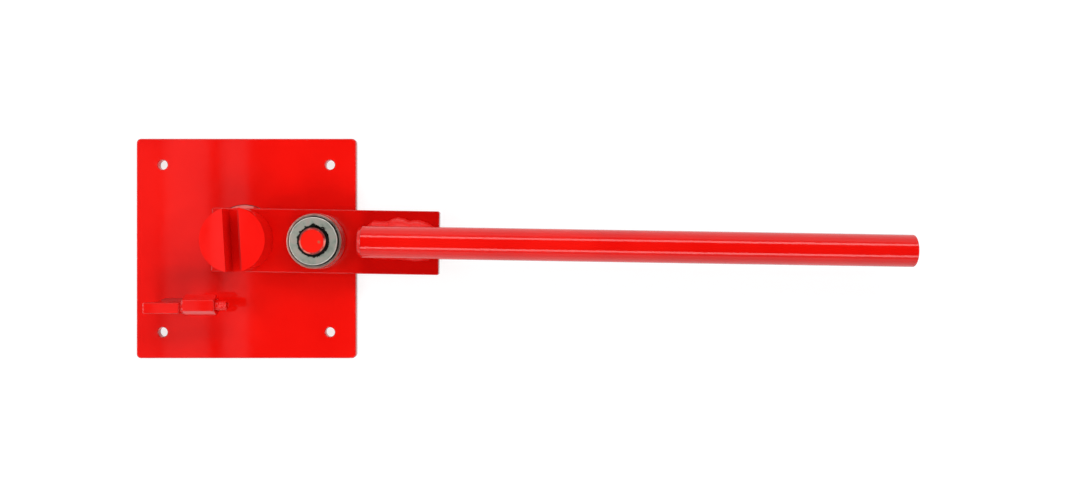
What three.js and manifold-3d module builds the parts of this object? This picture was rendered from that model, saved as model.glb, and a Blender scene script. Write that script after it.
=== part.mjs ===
// Rod bender: a base plate with a fixed slotted head, a lever with a ball-bearing roller that
// swings under the head, a handle tube, and an adjustable stop for the rod.
// Millimetres, +Z up. The origin is on the plate's underside, on the axis of the pivot post.
// +X points along the handle, +Y away from the stop.

import * as THREE from 'three';
import { mergeVertices } from 'three/addons/utils/BufferGeometryUtils.js';
import Module from 'manifold-3d';

const wasm = await Module();
wasm.setup();

// Clearances
const fitGap = 0.3; // round a pin, post or screw, and beside a weld
const faceGap = 0.2; // between flat faces that slide on each other
const cutOverrun = 2; // how far a cutting tool runs past the face that it cuts
const filletBowShare = 0.4; // 0.5 gives a fillet bead a flat face, less a hollow one

// Base plate
const plateSide = 210;
const plateThickness = 8;
const plateCornerRadius = 4;
const plateBackShift = 8; // the plate's middle lies this far towards -Y from the pivot
const boltPitch = 160;
const boltHoleDiameter = 9;

// Pivot post, its weld, and the ring that the lever slides on
const postDiameter = 34;
const postWeldLeg = 4;
const ringOuterDiameter = 64;
const ringThickness = 5;
const ringChamfer = 0.5;
const ringPlay = 2.1; // the ring lies loose, off centre by this play

// Lever arm
const armWidth = 60;
const armThickness = 10;
const armTail = 28; // past the pivot
const armReach = 186; // from the pivot to the outer end
const armCornerCut = 1.5;
const leverTurn = THREE.MathUtils.degToRad(-0.93); // how the lever stands in its rest position

// Slotted head
const headDiameter = 60;
const headLift = 0.5; // above the arm
const headBaseThickness = 5;
const jawHeight = 21.5;
const slotWidth = 15;
const headChamfer = 1.2;
const slotTurn = THREE.MathUtils.degToRad(3.3);

// Roller pin and what is stacked on it
const rollerRadius = 73; // from the pivot to the pin
const pinDiameter = 25;
const pinSpigotDiameter = 20; // in the arm
const pinChamfer = 1.4;
const pinStandOut = 2.5; // above the circlip
const pinWeldLeg = 3;
const spacerOuterDiameter = 33;
const spacerThickness = 4;
const washerOuterDiameter = 44;
const washerThickness = 4;
const washerChamfer = 0.5;

// Circlip
const circlipThickness = 1.2;
const circlipGrooveDiameter = 23.9;
const circlipGrooveWidth = 1.3;
const circlipBackWidth = 3; // radial width opposite its gap
const circlipEndWidth = 2; // radial width beside its gap
const circlipLugRadius = 2;
const circlipLugHole = 1.8;
const circlipTurn = THREE.MathUtils.degToRad(70); // where its gap faces
const circlipHalfGap = THREE.MathUtils.degToRad(18.5); // from the middle of the gap to a lug

// Ball bearing
const bearingOuterDiameter = 52;
const bearingWidth = 15;
const bearingChamfer = 1;
const ballDiameter = 7.94;
const ballCount = 9;
const ballPitchDiameter = 38.5;
const innerShoulderDiameter = 33.4;
const outerShoulderDiameter = 43.8;
const raceGap = 0.25; // between a ball and the groove that it runs in
const shieldThickness = 0.4;
const shieldDepth = 0.8; // of the shield's face below the ring's face
const shieldGrooveDepth = 1.2;
const shieldBoreGap = 0.8;
const shieldDishShare = 0.2; // of the shield's radial width, at its bore
const cageThickness = 0.7;
const cageInnerDiameter = 34.9;
const cageOuterDiameter = 42.1;

// Handle tube and its welds
const tubeOuterDiameter = 30;
const tubeWall = 3;
const tubeStart = 113.7; // from the pivot
const tubeLength = 512;
const tubeEndRadius = 2.4; // round the rim of the end that lies on the arm
const tubeWeldStart = 119;
const tubeWeldLength = 63;
const upperWeldToe = 8.4; // how far the bead stands out beside the tube
const lowerWeldToe = 2.4;
const weldFootShare = 0.4; // of the tube's radius, where the bead's inner edge lies
const weldCrestShare = 0.85; // of the tube's radius, how high the bead climbs
const weldSectionShares = [[0, 0], [1, 0], [0.88, 0.3], [0.62, 0.75], [0.45, 1], [0, 0.8]];
const upperWeldShares = [0.56, 0.79, 0.78, 0.8, 0.99, 0.97, 0.82, 0.87, 0.76, 0.6];
const lowerWeldShares = [0.66, 0.86, 0.87, 0.9, 0.96, 1, 0.99, 0.95, 0.86, 0.66];

// Rod stop
const stopAxisY = -60.5;
const uprightLength = 33;
const uprightThickness = 10;
const uprightCornerRadius = 1;
const uprightInnerEnd = -51.3;
const uprightSideShift = 2.4; // its middle lies this far towards -Y from the nut's axis
const uprightWeldLeg = 3;
const nutAcrossFlats = 17;
const nutLength = 30;
const nutStandOff = 2.5; // between the upright and the nut, filled by their weld
const nutChamfer = 1.2;
const nutWeldDiameter = 11;
const screwDiameter = 10;
const screwLength = 30;
const screwStandOut = 9.7; // out of the nut
const screwChamfer = 1.3;
const socketAcrossFlats = 5;
const socketDepth = 5;

// Facets of the round pieces
const largeSides = 64;
const middleSides = 48;
const innerSides = 32;
const smallSides = 24;
const pocketSides = 12;
const cageSides = 3 * ballCount;
const arcSteps = 5;
const rimSteps = 2;
const ballDetail = 2;

// Heights and places that follow from the sizes above
const ringTop = plateThickness + ringThickness;
const armBottom = ringTop + faceGap;
const armTop = armBottom + armThickness;
const headBottom = armTop + headLift;
const slotFloor = headBottom + headBaseThickness;
const headTop = slotFloor + jawHeight;
const bearingBottom = armTop + spacerThickness;
const bearingMiddle = bearingBottom + bearingWidth / 2;
const bearingTop = bearingBottom + bearingWidth;
const washerTop = bearingTop + washerThickness;
const circlipGrooveTop = washerTop + circlipGrooveWidth;
const pinTop = washerTop + circlipThickness + pinStandOut;
const tubeAxisHeight = armTop + fitGap + tubeOuterDiameter / 2;
const stopAxisHeight = bearingMiddle;
const ballRadius = ballDiameter / 2;
const pitchRadius = ballPitchDiameter / 2;
const nutStart = uprightInnerEnd + nutStandOff;
const nutEnd = nutStart + nutLength;
const screwTip = nutEnd + screwStandOut;

// Finishes
function finish(color, roughness, metalness) {
  return new THREE.MeshStandardMaterial({ color, roughness, metalness });
}
const redPaint = finish(0xe8160e, 0.28, 0.0);
const bareSteel = finish(0xa09a90, 0.42, 0.9);
const darkSteel = finish(0x7a6458, 0.38, 0.9);
const blackSteel = finish(0x1b1a1a, 0.5, 0.7);
const brightSteel = finish(0xc9c9c6, 0.2, 1.0);

// Closed meshes and solids

// One closed skin: shared corners are joined and triangles without area are left out.
function closeSkin(geometry) {
  const bare = geometry.clone();
  bare.deleteAttribute('normal');
  bare.deleteAttribute('uv');
  const joined = mergeVertices(bare);
  const corners = joined.index.array;
  const kept = [];
  for (let i = 0; i < corners.length; i += 3) {
    const [a, b, c] = [corners[i], corners[i + 1], corners[i + 2]];
    if (a !== b && b !== c && c !== a) kept.push(a, b, c);
  }
  joined.setIndex(kept);
  return joined;
}

function toSolid(geometry) {
  const skin = closeSkin(geometry);
  const vertProperties = new Float32Array(skin.attributes.position.array);
  const triVerts = new Uint32Array(skin.index.array);
  return new wasm.Manifold(new wasm.Mesh({ numProp: 3, vertProperties, triVerts }));
}

function toGeometry(solid) {
  const mesh = solid.getMesh();
  const geometry = new THREE.BufferGeometry();
  geometry.setAttribute('position', new THREE.BufferAttribute(new Float32Array(mesh.vertProperties), 3));
  geometry.setIndex(Array.from(mesh.triVerts));
  return geometry;
}

function cut(geometry, ...tools) {
  let solid = toSolid(geometry);
  for (const tool of tools) solid = solid.subtract(toSolid(tool));
  return toGeometry(solid);
}

function join(geometry, ...others) {
  let solid = toSolid(geometry);
  for (const other of others) solid = solid.add(toSolid(other));
  return toGeometry(solid);
}

function common(geometry, other) {
  return toGeometry(toSolid(geometry).intersect(toSolid(other)));
}

// Turned piece round the Z axis, from points [radius, height] that close on themselves
function turned(points, sides) {
  const profile = points.map(([radius, height]) => new THREE.Vector2(radius, height));
  profile.push(profile[0].clone());
  return new THREE.LatheGeometry(profile, sides).rotateX(Math.PI / 2);
}

// Cylinder along Z between two heights
function rod(diameter, bottom, top, sides) {
  const length = top - bottom;
  const cylinder = new THREE.CylinderGeometry(diameter / 2, diameter / 2, length, sides);
  return cylinder.rotateX(Math.PI / 2).translate(0, 0, bottom + length / 2);
}

// Box between two opposite corners
function block(low, high) {
  const size = high.map((value, axis) => value - low[axis]);
  const middle = high.map((value, axis) => (value + low[axis]) / 2);
  return new THREE.BoxGeometry(...size).translate(...middle);
}

// Flat outline in X and Y, pulled up between two heights
function plateOf(shape, bottom, top) {
  const settings = { depth: top - bottom, bevelEnabled: false, curveSegments: arcSteps };
  return new THREE.ExtrudeGeometry(shape, settings).translate(0, 0, bottom);
}

function part(name, geometry, material) {
  const mesh = new THREE.Mesh(closeSkin(geometry), material);
  mesh.name = name;
  return mesh;
}

// Outline of a rectangle with rounded corners about a middle point
function roundedRectangle(width, height, radius) {
  const [x, y] = [width / 2, height / 2];
  const shape = new THREE.Shape();
  shape.moveTo(radius - x, -y);
  shape.lineTo(x - radius, -y);
  shape.absarc(x - radius, radius - y, radius, -Math.PI / 2, 0);
  shape.lineTo(x, y - radius);
  shape.absarc(x - radius, y - radius, radius, 0, Math.PI / 2);
  shape.lineTo(radius - x, y);
  shape.absarc(radius - x, y - radius, radius, Math.PI / 2, Math.PI);
  shape.lineTo(-x, radius - y);
  shape.absarc(radius - x, radius - y, radius, Math.PI, 1.5 * Math.PI);
  return shape;
}

// Base

function basePlate() {
  const outline = roundedRectangle(plateSide, plateSide, plateCornerRadius);
  const plate = plateOf(outline, 0, plateThickness);
  const holes = [];
  for (const sideX of [-1, 1]) {
    for (const sideY of [-1, 1]) {
      const hole = rod(boltHoleDiameter, -cutOverrun, plateThickness + cutOverrun, smallSides);
      holes.push(hole.translate((sideX * boltPitch) / 2, (sideY * boltPitch) / 2, 0));
    }
  }
  return part('base_plate', cut(plate, ...holes).translate(0, -plateBackShift, 0), redPaint);
}

function pivotPost() {
  const post = rod(postDiameter, plateThickness, slotFloor - faceGap, middleSides);
  return part('pivot_post', post, redPaint);
}

// Fillet bead round the post's foot, inside the ring's bore
function postWeld() {
  const inner = postDiameter / 2 + fitGap;
  const outer = postDiameter / 2 + postWeldLeg;
  const profile = [
    [inner, plateThickness],
    [outer, plateThickness],
    [inner + (outer - inner) * filletBowShare, plateThickness + postWeldLeg * filletBowShare],
    [inner, plateThickness + postWeldLeg],
  ];
  return part('post_weld', turned(profile, smallSides), redPaint);
}

// Bare ring that the lever slides on. It lies loose, against the weld on one side.
function pivotRing() {
  const bore = postDiameter / 2 + postWeldLeg + ringPlay;
  const outer = ringOuterDiameter / 2;
  const profile = [
    [bore, plateThickness],
    [outer - ringChamfer, plateThickness],
    [outer, plateThickness + ringChamfer],
    [outer, ringTop - ringChamfer],
    [outer - ringChamfer, ringTop],
    [bore, ringTop],
  ];
  const ring = turned(profile, middleSides).translate(0, ringPlay - fitGap, 0);
  return part('pivot_ring', ring, bareSteel);
}

// Round head with a slot for the rod. The post comes up through its base to the slot's floor.
function slottedHead() {
  const outer = headDiameter / 2;
  const blank = turned([
    [0, headBottom],
    [outer - headChamfer, headBottom],
    [outer, headBottom + headChamfer],
    [outer, headTop - headChamfer],
    [outer - headChamfer, headTop],
    [0, headTop],
  ], largeSides);
  const slot = block(
    [-slotWidth / 2, -outer - cutOverrun, slotFloor],
    [slotWidth / 2, outer + cutOverrun, headTop + cutOverrun],
  );
  const mouth = slotMouth(outer);
  const seat = rod(postDiameter + 2 * fitGap, headBottom - cutOverrun, slotFloor, middleSides);
  const head = cut(blank, slot, mouth, seat).rotateZ(slotTurn);
  return part('slotted_head', head, redPaint);
}

// Bevels along the slot's two upper edges
function slotMouth(outer) {
  const shape = new THREE.Shape();
  shape.moveTo(0, headTop - headChamfer - slotWidth / 2);
  shape.lineTo(slotWidth / 2 + headChamfer + cutOverrun, headTop + cutOverrun);
  shape.lineTo(-slotWidth / 2 - headChamfer - cutOverrun, headTop + cutOverrun);
  const run = 2 * (outer + cutOverrun);
  const wedge = new THREE.ExtrudeGeometry(shape, { depth: run, bevelEnabled: false });
  return wedge.translate(0, 0, -run / 2).rotateX(Math.PI / 2);
}

// Rod stop

function stopUpright() {
  const middleY = stopAxisY - uprightSideShift;
  const top = stopAxisHeight + nutAcrossFlats / 2;
  const shape = roundedRectangle(uprightLength, uprightThickness, uprightCornerRadius);
  const bar = plateOf(shape, plateThickness, top);
  bar.translate(uprightInnerEnd - uprightLength / 2, middleY, 0);
  return part('stop_upright', bar, redPaint);
}

// Fillet beads along both sides of the upright's foot
function stopWeld(name, side) {
  const middleY = stopAxisY - uprightSideShift;
  const leg = uprightWeldLeg;
  const foot = uprightThickness / 2 + fitGap;
  const shape = new THREE.Shape();
  shape.moveTo(0, 0);
  shape.lineTo(leg, 0);
  shape.quadraticCurveTo(leg * filletBowShare, leg * filletBowShare, 0, leg);
  const length = uprightLength - 2 * leg;
  const settings = { depth: length, bevelEnabled: false, curveSegments: arcSteps };
  const bead = new THREE.ExtrudeGeometry(shape, settings);
  bead.rotateX(Math.PI / 2).rotateZ(Math.PI / 2);
  if (side < 0) bead.rotateZ(Math.PI);
  const startX = uprightInnerEnd - uprightLength / 2 - (side * length) / 2;
  bead.translate(startX, middleY + side * foot, plateThickness);
  return part(name, bead, redPaint);
}

// Hexagon along X with a flat on top, its corners turned off at both ends
function hexagonBar(acrossFlats, length) {
  const cornerRadius = acrossFlats / 2 / Math.cos(Math.PI / 6);
  const bar = new THREE.CylinderGeometry(cornerRadius, cornerRadius, length, 6);
  return bar.rotateY(Math.PI / 6).rotateZ(-Math.PI / 2);
}

function alongX(geometry) {
  return geometry.rotateY(Math.PI / 2);
}

function stopNut() {
  const cornerRadius = nutAcrossFlats / 2 / Math.cos(Math.PI / 6);
  const half = nutLength / 2;
  const turnedEnds = turned([
    [0, -half],
    [cornerRadius - nutChamfer, -half],
    [cornerRadius, nutChamfer / 2 - half],
    [cornerRadius, half - nutChamfer / 2],
    [cornerRadius - nutChamfer, half],
    [0, half],
  ], middleSides);
  const body = common(hexagonBar(nutAcrossFlats, nutLength), alongX(turnedEnds));
  const bore = alongX(rod(screwDiameter + 2 * fitGap, -half - cutOverrun, half + cutOverrun, smallSides));
  const nut = cut(body, bore).translate(nutStart + half, stopAxisY, stopAxisHeight);
  return part('stop_nut', nut, redPaint);
}

// Bead that fills the space between the upright and the nut
function stopNutWeld() {
  const radius = nutWeldDiameter / 2;
  const half = nutStandOff / 2 - fitGap / 2;
  const bead = turned([
    [0, -half],
    [radius, -half],
    [radius - half, 0],
    [radius, half],
    [0, half],
  ], smallSides);
  alongX(bead).translate(uprightInnerEnd + nutStandOff / 2, stopAxisY - uprightSideShift / 2, stopAxisHeight);
  return part('stop_nut_weld', bead, redPaint);
}

function stopScrew() {
  const radius = screwDiameter / 2;
  const shank = turned([
    [0, 0],
    [radius - screwChamfer, 0],
    [radius, screwChamfer],
    [radius, screwLength - screwChamfer],
    [radius - screwChamfer, screwLength],
    [0, screwLength],
  ], smallSides);
  const socket = hexagonBar(socketAcrossFlats, 2 * socketDepth).translate(screwLength, 0, 0);
  const screw = cut(alongX(shank), socket);
  screw.translate(screwTip - screwLength, stopAxisY, stopAxisHeight);
  return part('stop_screw', screw, redPaint);
}

// Lever, modelled along X and turned as a group

function leverArm() {
  const [left, right, side, corner] = [-armTail, armReach, armWidth / 2, armCornerCut];
  const shape = new THREE.Shape();
  shape.moveTo(left + corner, -side);
  shape.lineTo(right - corner, -side);
  shape.lineTo(right, corner - side);
  shape.lineTo(right, side - corner);
  shape.lineTo(right - corner, side);
  shape.lineTo(left + corner, side);
  shape.lineTo(left, side - corner);
  shape.lineTo(left, corner - side);
  const bar = plateOf(shape, armBottom, armTop);
  const bore = rod(postDiameter + 2 * fitGap, armBottom - cutOverrun, armTop + cutOverrun, middleSides);
  const pinHole = turned([
    [0, armBottom - cutOverrun],
    [pinSpigotDiameter / 2 + pinWeldLeg + cutOverrun, armBottom - cutOverrun],
    [pinSpigotDiameter / 2 + fitGap, armBottom + pinWeldLeg],
    [pinSpigotDiameter / 2 + fitGap, armTop + cutOverrun],
    [0, armTop + cutOverrun],
  ], middleSides).translate(rollerRadius, 0, 0);
  return part('lever_arm', cut(bar, bore, pinHole), redPaint);
}

// Pin with a spigot in the arm, a shoulder on it, and a groove for the circlip
function rollerPin() {
  const spigot = pinSpigotDiameter / 2;
  const body = pinDiameter / 2;
  const groove = circlipGrooveDiameter / 2;
  const profile = [
    [0, armBottom + faceGap],
    [spigot, armBottom + faceGap],
    [spigot, armTop],
    [body, armTop],
    [body, washerTop],
    [groove, washerTop],
    [groove, circlipGrooveTop],
    [body, circlipGrooveTop],
    [body, pinTop - pinChamfer],
    [body - pinChamfer, pinTop],
    [0, pinTop],
  ];
  return part('roller_pin', turned(profile, middleSides).translate(rollerRadius, 0, 0), redPaint);
}

// Weld in the countersink under the arm, flush with its underside
function pinWeld() {
  const inner = pinSpigotDiameter / 2 + fitGap;
  const outer = inner + pinWeldLeg - 2 * fitGap;
  const profile = [
    [inner, armBottom + faceGap],
    [outer, armBottom + faceGap],
    [inner, armBottom + pinWeldLeg - 2 * fitGap],
  ];
  return part('pin_weld', turned(profile, smallSides).translate(rollerRadius, 0, 0), redPaint);
}

function plainRing(boreDiameter, outerDiameter, bottom, top, sides) {
  const [bore, outer] = [boreDiameter / 2, outerDiameter / 2];
  const profile = [
    [bore, bottom],
    [outer, bottom],
    [outer, top - washerChamfer],
    [outer - washerChamfer, top],
    [bore, top],
  ];
  return turned(profile, sides).translate(rollerRadius, 0, 0);
}

function rollerSpacer() {
  const bore = pinDiameter + 2 * fitGap;
  const ring = plainRing(bore, spacerOuterDiameter, armTop, bearingBottom, innerSides);
  return part('roller_spacer', ring, bareSteel);
}

function rollerWasher() {
  const bore = pinDiameter + 2 * fitGap;
  const ring = plainRing(bore, washerOuterDiameter, bearingTop, washerTop, middleSides);
  return part('roller_washer', ring, bareSteel);
}

// Circlip: a ring that narrows towards its gap, with a drilled lug at each end
function rollerCirclip() {
  const inner = circlipGrooveDiameter / 2 + fitGap;
  const outer = inner + (circlipBackWidth + circlipEndWidth) / 2;
  const offset = (circlipBackWidth - circlipEndWidth) / 2;
  const top = washerTop + circlipThickness;
  const [low, high] = [washerTop - cutOverrun, top + cutOverrun];
  const lugDistance = inner + circlipLugRadius;
  const lugs = [];
  const holes = [];
  for (const side of [-1, 1]) {
    const angle = side * circlipHalfGap;
    const [x, y] = [lugDistance * Math.cos(angle), lugDistance * Math.sin(angle)];
    lugs.push(rod(2 * circlipLugRadius, washerTop, top, smallSides).translate(x, y, 0));
    holes.push(rod(circlipLugHole, low, high, smallSides / 2).translate(x, y, 0));
  }
  const gap = new THREE.Shape();
  gap.moveTo(0, 0);
  const reach = 2 * outer;
  gap.lineTo(reach * Math.cos(circlipHalfGap), -reach * Math.sin(circlipHalfGap));
  gap.lineTo(reach * Math.cos(circlipHalfGap), reach * Math.sin(circlipHalfGap));
  const blank = rod(2 * outer, washerTop, top, middleSides).translate(-offset, 0, 0);
  const open = cut(blank, plateOf(gap, low, high));
  const bore = rod(2 * inner, low, high, middleSides);
  const clip = cut(join(open, ...lugs), bore, ...holes);
  clip.rotateZ(circlipTurn - leverTurn).translate(rollerRadius, 0, 0);
  return part('roller_circlip', clip, blackSteel);
}

// Ball bearing, modelled about its own middle and lifted onto the pin

// Points of a raceway's arc, on the side of the pitch circle that the ring is on
function racewayArc(ringSide, shoulderRadius) {
  const grooveRadius = ballRadius + raceGap;
  const reach = Math.abs(shoulderRadius - pitchRadius);
  const edgeAngle = Math.acos(reach / grooveRadius);
  const points = [];
  for (let step = 0; step <= arcSteps; step += 1) {
    const angle = edgeAngle * ((2 * step) / arcSteps - 1);
    const radius = pitchRadius + ringSide * grooveRadius * Math.cos(angle);
    points.push([radius, grooveRadius * Math.sin(angle)]);
  }
  return points;
}

function onPin(geometry) {
  return geometry.translate(rollerRadius, 0, bearingMiddle);
}

function bearingInnerRing() {
  const bore = pinDiameter / 2 + fitGap;
  const half = bearingWidth / 2;
  const shoulder = innerShoulderDiameter / 2;
  const chamfer = bearingChamfer / 2;
  const profile = [
    [bore + chamfer, -half],
    [shoulder, -half],
    ...racewayArc(-1, shoulder),
    [shoulder, half],
    [bore + chamfer, half],
    [bore, half - chamfer],
    [bore, chamfer - half],
  ];
  return part('bearing_inner_ring', onPin(turned(profile, innerSides)), brightSteel);
}

function bearingOuterRing() {
  const outer = bearingOuterDiameter / 2;
  const half = bearingWidth / 2;
  const shoulder = outerShoulderDiameter / 2;
  const recess = shoulder + shieldGrooveDepth;
  const ledge = half - shieldDepth - shieldThickness - faceGap;
  const profile = [
    [recess, -half],
    [outer - bearingChamfer, -half],
    [outer, bearingChamfer - half],
    [outer, half - bearingChamfer],
    [outer - bearingChamfer, half],
    [recess, half],
    [recess, ledge],
    [shoulder, ledge],
    ...racewayArc(1, shoulder).reverse(),
    [shoulder, -ledge],
    [recess, -ledge],
  ];
  return part('bearing_outer_ring', onPin(turned(profile, largeSides)), darkSteel);
}

// Dished steel shield that sits in the outer ring's recess
function bearingShield(name, side) {
  const half = bearingWidth / 2;
  const outer = outerShoulderDiameter / 2 + shieldGrooveDepth - fitGap;
  const inner = innerShoulderDiameter / 2 + shieldBoreGap;
  const top = half - shieldDepth;
  const rim = top - shieldThickness;
  const turn = inner + (outer - inner) * shieldDishShare;
  const profile = [
    [inner, rim - shieldThickness],
    [turn, rim],
    [outer, rim],
    [outer, top],
    [turn, top],
    [inner, top - shieldThickness],
  ];
  const shield = turned(profile, innerSides);
  if (side < 0) shield.rotateX(Math.PI);
  return part(name, onPin(shield), darkSteel);
}

function ballAngles() {
  return Array.from({ length: ballCount }, (_, index) => (index / ballCount) * 2 * Math.PI);
}

function bearingBalls() {
  return ballAngles().map((angle, index) => {
    const ball = new THREE.IcosahedronGeometry(ballRadius, ballDetail);
    ball.translate(pitchRadius * Math.cos(angle), pitchRadius * Math.sin(angle), 0);
    return part(`bearing_ball_${index + 1}`, onPin(ball), brightSteel);
  });
}

// Half of a pressed ribbon cage: a flat ring with a pocket bent round each ball
function bearingCageHalf(name, side) {
  const pocketRadius = ballRadius + raceGap;
  const cupRadius = pocketRadius + cageThickness;
  const band = cageBand(cupRadius + cutOverrun);
  const ribbon = cageBand(faceGap / 2 + cageThickness);
  const cups = ballAngles().map((angle) => acrossRing(cupRadius, angle));
  const pockets = ballAngles().map((angle) => acrossRing(pocketRadius, angle));
  const cupped = common(join(...cups), band);
  const half = cut(join(ribbon, cupped), ...pockets);
  if (side < 0) half.rotateX(Math.PI);
  return part(name, onPin(half), brightSteel);
}

function cageBand(top) {
  const [inner, outer, bottom] = [cageInnerDiameter / 2, cageOuterDiameter / 2, faceGap / 2];
  return turned([[inner, bottom], [outer, bottom], [outer, top], [inner, top]], cageSides);
}

// Cylinder that lies radially across the cage at one ball
function acrossRing(radius, angle) {
  const [inner, outer] = [cageInnerDiameter / 2 - cutOverrun, cageOuterDiameter / 2 + cutOverrun];
  return alongX(rod(2 * radius, inner, outer, pocketSides)).rotateZ(angle);
}

// Tube that lies on the arm, open at both ends, with a rounded rim on the arm
function handleTube() {
  const outer = tubeOuterDiameter / 2;
  const inner = outer - tubeWall;
  const profile = [[inner, 0]];
  for (let step = 0; step <= rimSteps; step += 1) {
    const angle = (Math.PI / 2) * (step / rimSteps);
    const [across, along] = [Math.sin(angle) - 1, 1 - Math.cos(angle)];
    profile.push([outer + tubeEndRadius * across, tubeEndRadius * along]);
  }
  profile.push([outer, tubeLength], [inner, tubeLength]);
  const tube = turned(profile, middleSides);
  return part('handle_tube', alongX(tube).translate(tubeStart, 0, tubeAxisHeight), redPaint);
}

// Bead between the tube's flank and the arm. Its width follows the lumps of a hand-laid weld.
function tubeWeld(name, side, toe, lumpShares) {
  const outer = tubeOuterDiameter / 2;
  const reach = outer + toe;
  const crest = outer * weldCrestShare;
  const foot = outer * weldFootShare;
  const spaces = lumpShares.length - 1;
  const rings = lumpShares.map((share, index) => {
    const x = tubeWeldStart + (tubeWeldLength * index) / spaces;
    const [width, height] = [(reach - foot) * share, crest * share];
    return weldSectionShares.map(([across, up]) => [x, foot + width * across, height * up]);
  });
  const bead = loft(rings).translate(0, 0, armTop + fitGap);
  const clearance = alongX(rod(tubeOuterDiameter + 2 * fitGap, 0, armReach, middleSides));
  clearance.translate(tubeStart, 0, tubeAxisHeight);
  const weld = cut(bead, clearance);
  if (side < 0) weld.rotateZ(Math.PI).translate(2 * tubeWeldStart + tubeWeldLength, 0, 0);
  return part(name, weld, redPaint);
}

// Closed skin through rings of points that have the same count
function loft(rings) {
  const count = rings[0].length;
  const corners = [];
  for (let ring = 0; ring + 1 < rings.length; ring += 1) {
    for (let i = 0; i < count; i += 1) {
      const next = (i + 1) % count;
      const [a, b] = [rings[ring][i], rings[ring][next]];
      const [c, d] = [rings[ring + 1][i], rings[ring + 1][next]];
      corners.push(a, b, c, b, d, c);
    }
  }
  const [first, last] = [rings[0], rings[rings.length - 1]];
  for (let i = 1; i + 1 < count; i += 1) {
    corners.push(first[0], first[i + 1], first[i]);
    corners.push(last[0], last[i], last[i + 1]);
  }
  const geometry = new THREE.BufferGeometry();
  geometry.setAttribute('position', new THREE.Float32BufferAttribute(corners.flat(), 3));
  return geometry;
}

// The whole rod bender

const base = new THREE.Group();
base.add(basePlate(), pivotPost(), postWeld(), pivotRing(), slottedHead());
base.add(stopUpright(), stopWeld('stop_weld_front', -1), stopWeld('stop_weld_back', 1));
base.add(stopNut(), stopNutWeld(), stopScrew());

const lever = new THREE.Group();
lever.add(leverArm(), handleTube());
lever.add(tubeWeld('tube_weld_upper', 1, upperWeldToe, upperWeldShares));
lever.add(tubeWeld('tube_weld_lower', -1, lowerWeldToe, lowerWeldShares));
lever.add(rollerPin(), pinWeld(), rollerSpacer(), rollerWasher(), rollerCirclip());
lever.add(bearingInnerRing(), bearingOuterRing());
lever.add(bearingShield('bearing_shield_upper', 1), bearingShield('bearing_shield_lower', -1));
lever.add(bearingCageHalf('bearing_cage_upper', 1), bearingCageHalf('bearing_cage_lower', -1));
lever.add(...bearingBalls());
lever.rotation.z = leverTurn;

const rodBender = new THREE.Group();
rodBender.add(base, lever);

export default rodBender;
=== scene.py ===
"""Looks of the rod bender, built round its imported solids.

Pieces are sized in millimetres, in the same frame as the solids, and become metres when they are
made. Places in the finishes, the floor, the lamps and the camera are in metres.
"""

import math

import bmesh
import bpy
from mathutils import Matrix, Vector, noise

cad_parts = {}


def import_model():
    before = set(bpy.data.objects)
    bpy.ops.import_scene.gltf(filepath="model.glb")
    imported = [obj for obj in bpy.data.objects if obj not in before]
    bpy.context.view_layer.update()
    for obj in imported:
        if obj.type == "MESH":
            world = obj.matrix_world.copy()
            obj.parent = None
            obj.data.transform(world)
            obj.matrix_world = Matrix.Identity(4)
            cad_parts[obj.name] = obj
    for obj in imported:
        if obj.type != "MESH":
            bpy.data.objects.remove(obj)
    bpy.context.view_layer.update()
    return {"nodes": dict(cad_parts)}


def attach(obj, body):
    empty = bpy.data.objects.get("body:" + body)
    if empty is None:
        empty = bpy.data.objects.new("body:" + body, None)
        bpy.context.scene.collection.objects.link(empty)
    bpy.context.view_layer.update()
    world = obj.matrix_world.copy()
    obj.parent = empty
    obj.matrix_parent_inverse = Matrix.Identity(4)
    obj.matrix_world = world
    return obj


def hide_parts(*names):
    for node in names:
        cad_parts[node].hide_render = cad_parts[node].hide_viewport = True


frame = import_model()

MM = 0.001
FULL_TURN = 2 * math.pi

# Sizes, as on the solids
PLATE_SIDE, PLATE_TOP, PLATE_CORNER, PLATE_SHIFT = 210.0, 8.0, 4.0, 8.0
BOLT_PITCH, BOLT_HOLE = 160.0, 9.0
RING_BORE, RING_OUTER, RING_TOP, RING_SHIFT = 23.1, 32.0, 13.0, 1.8
ARM_BOTTOM, ARM_TOP, ARM_WIDTH, ARM_TAIL, ARM_REACH = 13.2, 23.2, 60.0, 28.0, 186.0
ARM_CORNER = 1.5
LEVER_TURN = math.radians(-0.93)
FIT = 0.3  # room round the post, the pin and the screw
POST_RADIUS = 17.0
HEAD_RADIUS, HEAD_BOTTOM, SLOT_FLOOR, HEAD_TOP = 30.0, 23.7, 28.7, 50.2
SLOT_WIDTH = 15.0
SLOT_TURN = math.radians(3.3)
PIN_DISTANCE, PIN_RADIUS, PIN_BOTTOM, PIN_TOP = 73.0, 12.5, 13.4, 49.9
PIN_FOOT_RADIUS, PIN_CHAMFER, PIN_CHAMFER_HEIGHT = 10.0, 1.9, 1.4
GROOVE_RADIUS, GROOVE_TOP = 11.95, 47.5
BEARING_BOTTOM, BEARING_TOP, WASHER_TOP = 27.2, 42.2, 46.2
BEARING_MIDDLE = (BEARING_BOTTOM + BEARING_TOP) / 2
BEARING_BORE, BEARING_RADIUS, BEARING_HALF = PIN_RADIUS + FIT, 26.0, 7.5
INNER_SHOULDER, OUTER_SHOULDER = 16.7, 21.9
BALL_RADIUS, BALL_COUNT, PITCH_RADIUS, RACE_GAP = 3.97, 9, 19.25, 0.25
SPACER_RADIUS, WASHER_RADIUS = 16.5, 22.0
TUBE_RADIUS, TUBE_WALL, TUBE_START, TUBE_LENGTH, TUBE_HEIGHT = 15.0, 3.0, 113.7, 512.0, 38.5
TUBE_WELD_START, TUBE_WELD_LENGTH, FOOT_WELD_LENGTH = 119.0, 63.0, 26.0
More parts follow.
